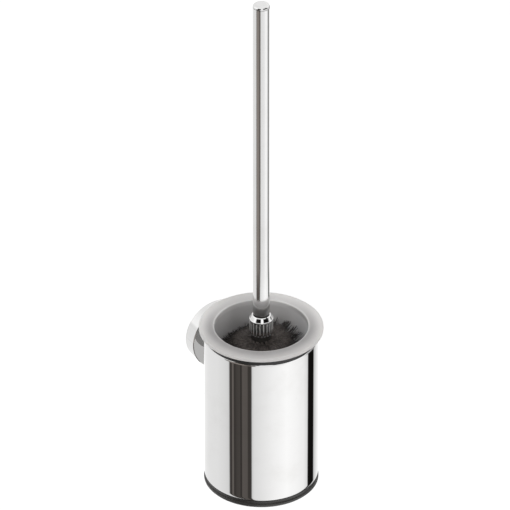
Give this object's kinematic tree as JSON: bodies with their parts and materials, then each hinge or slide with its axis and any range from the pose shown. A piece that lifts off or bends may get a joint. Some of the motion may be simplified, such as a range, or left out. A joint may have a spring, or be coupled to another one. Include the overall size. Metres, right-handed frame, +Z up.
{
  "type": "toilet brush holder",
  "caption": "Wall-hung toilet brush holder: a mirror chrome tube on a round rosette, a lift-out frosted liner, and a lift-out brush whose chrome handle unscrews from its head.",
  "frame": {"origin": "centre of the wall plate's back face, on the wall", "axes": "+Y into the wall, -Y out into the room, +Z up, +X to the right seen from the room"},
  "size_m": [0.0872, 0.1231, 0.3913],
  "materials": {
    "chrome": "mirror polished plating, with faint wiping marks",
    "zinc_steel": "dull zinc plating",
    "black_rubber": "matt black rubber",
    "black_plastic": "black moulded plastic, fine satin texture",
    "frosted_plastic": "translucent greyish white plastic, satin",
    "bristle": "black nylon filaments",
    "brass": "bare turned brass"
  },
  "bodies": {
    "holder": {"wall_plate": "zinc_steel", "wall_screw_left": "zinc_steel", "wall_screw_right": "zinc_steel", "rosette_cover": "chrome", "rosette_set_screw": "zinc_steel", "mounting_arm": "chrome", "arm_washer_rear": "zinc_steel", "arm_screw_rear": "zinc_steel", "arm_washer_front": "zinc_steel", "arm_screw_front": "zinc_steel", "holder_tube": "chrome", "rim_ring": "black_rubber", "base_cap": "black_plastic"},
    "liner": {"liner": "frosted_plastic"},
    "brush_head": {"brush_core": "black_plastic", "tuft_row_01": "bristle", "tuft_row_02": "bristle", "tuft_row_03": "bristle", "tuft_row_04": "bristle", "tuft_row_05": "bristle", "tuft_row_06": "bristle", "tuft_row_07": "bristle", "tuft_row_08": "bristle", "tuft_row_09": "bristle", "tuft_row_10": "bristle", "tuft_row_11": "bristle", "stud": "zinc_steel", "collar": "chrome"},
    "washer": {"thrust_washer": "black_plastic"},
    "handle": {"handle_tube": "chrome", "thread_insert": "brass", "handle_cap": "chrome"}
  },
  "joints": [
    {"name": "liner_lift", "type": "slide", "parent": "holder", "child": "liner", "axis": [0, 0, 1], "range_m": [0, 0.12]},
    {"name": "brush_lift", "type": "slide", "parent": "liner", "child": "brush_head", "axis": [0, 0, 1], "range_m": [0, 0.125]},
    {"name": "handle_rise", "type": "slide", "parent": "brush_head", "child": "washer", "axis": [0, 0, 1], "range_m": [0, 0.012]},
    {"name": "handle_turn", "type": "hinge", "parent": "washer", "child": "handle", "pos_m": [0, -0.0645, 0.0507], "axis": [0, 0, 1], "range_deg": [0, 4321]}
  ],
  "couplings": [
    {"joint": "handle_turn", "follows": "handle_rise", "rad_per_m": 6283.2}
  ]
}
